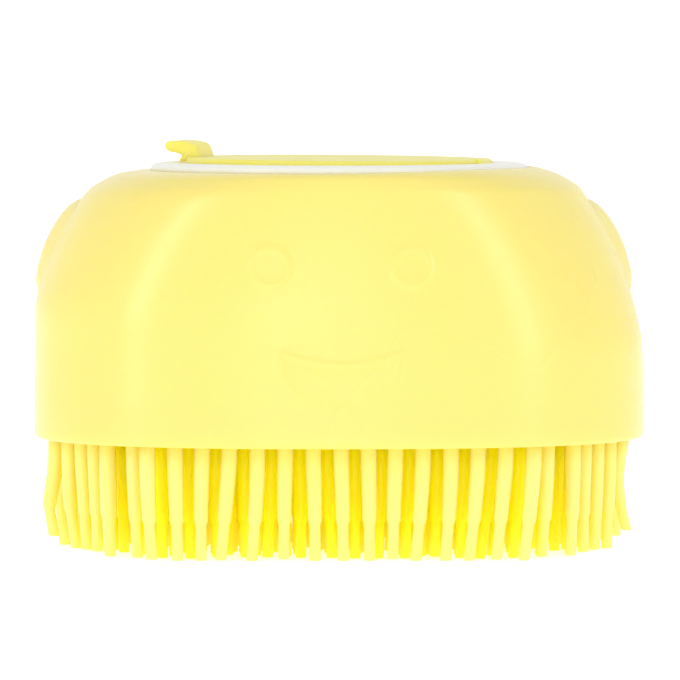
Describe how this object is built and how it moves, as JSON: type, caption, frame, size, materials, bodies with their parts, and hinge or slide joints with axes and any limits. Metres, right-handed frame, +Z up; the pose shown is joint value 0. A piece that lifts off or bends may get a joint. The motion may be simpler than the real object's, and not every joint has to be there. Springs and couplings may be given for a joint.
{
  "type": "silicone pet bath brush",
  "caption": "Palm-sized silicone bath brush with a squeezable shampoo reservoir, a field of stepped bristles and a flip-up plug lid.",
  "frame": {"origin": "under the middle of the brush, in the plane of the bristle tips that it stands on", "axes": "+Z up from the bristle tips to the lid, -Y towards the front with the face, +X towards the right-hand grip, near which the lid's hinge lies"},
  "size_m": [0.08, 0.058, 0.0534],
  "materials": {
    "shell_silicone": "satin, slightly translucent pale yellow silicone",
    "bristle_silicone": "satin, slightly translucent yellow silicone",
    "lid_silicone": "satin yellow silicone",
    "white_plastic": "semi-gloss white polypropylene"
  },
  "bodies": {
    "brush": {"squeeze_shell": "shell_silicone", "brush_pad": "bristle_silicone", "filler_collar": "white_plastic", "collar_lock_ring": "white_plastic", "lid_tether": "lid_silicone"},
    "lid": {"filler_lid": "lid_silicone"}
  },
  "joints": [
    {"name": "lid_hinge", "type": "hinge", "parent": "brush", "child": "lid", "pos_m": [0.01885, -0.00435, 0.05085], "axis": [0.225, 0.9744, 0], "range_deg": [0, 160]}
  ]
}
